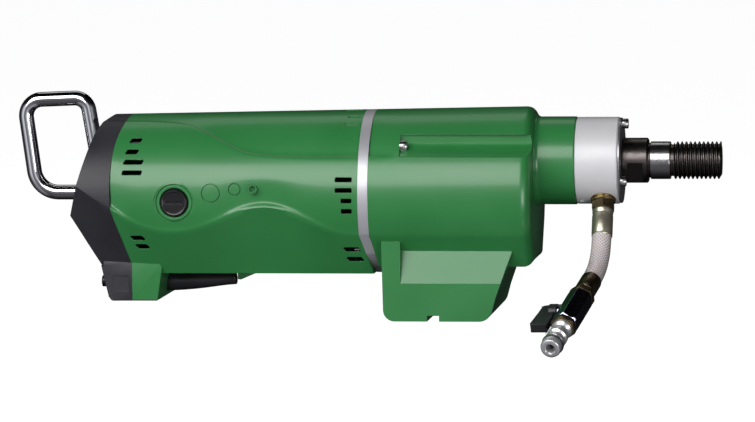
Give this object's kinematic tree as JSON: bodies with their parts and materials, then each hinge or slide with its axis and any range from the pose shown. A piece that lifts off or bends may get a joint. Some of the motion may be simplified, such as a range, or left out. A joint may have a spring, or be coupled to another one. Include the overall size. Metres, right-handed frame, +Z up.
{
  "type": "core drill motor unit",
  "caption": "Core drill motor with gear case, stand-mounting base, water-fed threaded spindle, short valve hose and carrying handle.",
  "frame": {"origin": "centre of the four tapped holes in the base's lower face, which bolts to a drill stand's carriage", "axes": "+X along the spindle towards the core bit, +Z up away from the stand's carriage, -Y on the side of the water valve"},
  "size_m": [0.6019, 0.2591, 0.206],
  "materials": {
    "green_paint": "semi-gloss green enamel with a light orange-peel texture",
    "black_plastic": "charcoal moulded plastic with a fine grain",
    "switch_black": "glossy black moulded plastic",
    "cap_black": "glossy black moulded plastic",
    "lever_black": "black moulded plastic",
    "chrome": "polished chrome plate",
    "valve_chrome": "chrome plate over machined brass",
    "silver_casting": "satin machined aluminium",
    "silver_ring": "fine-turned pale aluminium",
    "spindle_steel": "turned dark steel",
    "steel": "ground gear steel",
    "black_steel": "blackened steel",
    "zinc_screw": "bright zinc plate",
    "bearing_steel": "polished bearing steel",
    "lamination_steel": "varnished electrical steel",
    "copper": "enamelled copper",
    "brass": "machined brass",
    "zinc_yellow": "yellow zinc-plated steel",
    "carbon": "pressed carbon",
    "rubber": "black rubber",
    "white_ptfe": "white low-friction plastic",
    "clear_hose": "clear flexible plastic over white braid"
  },
  "bodies": {
    "motor_unit": {"motor_housing": "green_paint", "rear_cap": "black_plastic", "carry_handle": "chrome", "handle_set_screws": "black_steel", "switch_frame": "switch_black", "intermediate_flange": "silver_casting", "gear_case": "green_paint", "rotor_bearing_outers": "bearing_steel", "layshaft_bearing_outers": "bearing_steel", "spindle_bearing_outers": "bearing_steel", "fan_baffle": "black_plastic", "stator_core": "lamination_steel", "stator_windings": "copper", "brush_holder_near": "brass", "brush_holder_far": "brass", "carbon_brush_near": "carbon", "carbon_brush_far": "carbon", "brush_spring_near": "steel", "brush_spring_far": "steel", "brush_cap_near": "cap_black", "brush_cap_far": "cap_black", "water_swivel_ring": "silver_ring", "swivel_cover": "black_steel", "swivel_cover_screws": "zinc_screw", "shaft_seals": "rubber", "water_nipple": "brass", "hose_ferrule_upper": "zinc_yellow", "water_hose": "clear_hose", "hose_ferrule_lower": "zinc_yellow", "hose_tail": "brass", "valve_body": "valve_chrome", "valve_seats": "white_ptfe", "valve_adapter": "brass", "coupling_nipple": "valve_chrome", "coupling_oring": "rubber", "cord_guard": "rubber", "cord_clamp": "black_plastic", "cord_clamp_screws": "zinc_screw", "gear_case_screws": "zinc_screw", "plate_screws": "zinc_screw", "rear_cap_screws": "zinc_screw"},
    "rotor": {"rotor_shaft": "steel", "rotor_bearing_inners": "bearing_steel", "armature_core": "lamination_steel", "armature_windings": "copper", "commutator": "copper", "cooling_fan": "black_plastic"},
    "layshaft": {"layshaft": "steel", "layshaft_gear": "steel", "layshaft_bearing_inners": "bearing_steel"},
    "spindle": {"spindle": "spindle_steel", "spindle_gear": "steel", "spindle_key": "steel", "spindle_circlip": "black_steel", "spindle_bearing_inners": "bearing_steel"},
    "valve_lever": {"valve_lever": "lever_black", "valve_stem": "brass", "valve_ball": "valve_chrome", "valve_lever_screw": "zinc_screw"},
    "switch_rocker": {"switch_rocker": "switch_black"}
  },
  "joints": [
    {"name": "rotor_spin", "type": "hinge", "parent": "motor_unit", "child": "rotor", "pos_m": [-0.155, 0, 0.1], "axis": [1, 0, 0], "continuous": true},
    {"name": "layshaft_spin", "type": "hinge", "parent": "motor_unit", "child": "layshaft", "pos_m": [0, 0.02999, 0.09918], "axis": [1, 0, 0], "continuous": true},
    {"name": "spindle_spin", "type": "hinge", "parent": "motor_unit", "child": "spindle", "pos_m": [0.1, 0, 0.13], "axis": [1, 0, 0], "continuous": true},
    {"name": "valve_turn", "type": "hinge", "parent": "motor_unit", "child": "valve_lever", "pos_m": [0.12261, -0.12549, 0.01576], "axis": [-0.9734, 0.2267, -0.0338], "range_deg": [0, 90]},
    {"name": "switch_rock", "type": "hinge", "parent": "motor_unit", "child": "switch_rocker", "pos_m": [-0.28138, 0, 0.03103], "axis": [-0.2341, 0, 0.9722], "range_deg": [-16, 0]}
  ],
  "couplings": [
    {"joint": "layshaft_spin", "follows": "rotor_spin", "ratio": -0.25},
    {"joint": "spindle_spin", "follows": "rotor_spin", "ratio": 0.096774}
  ]
}
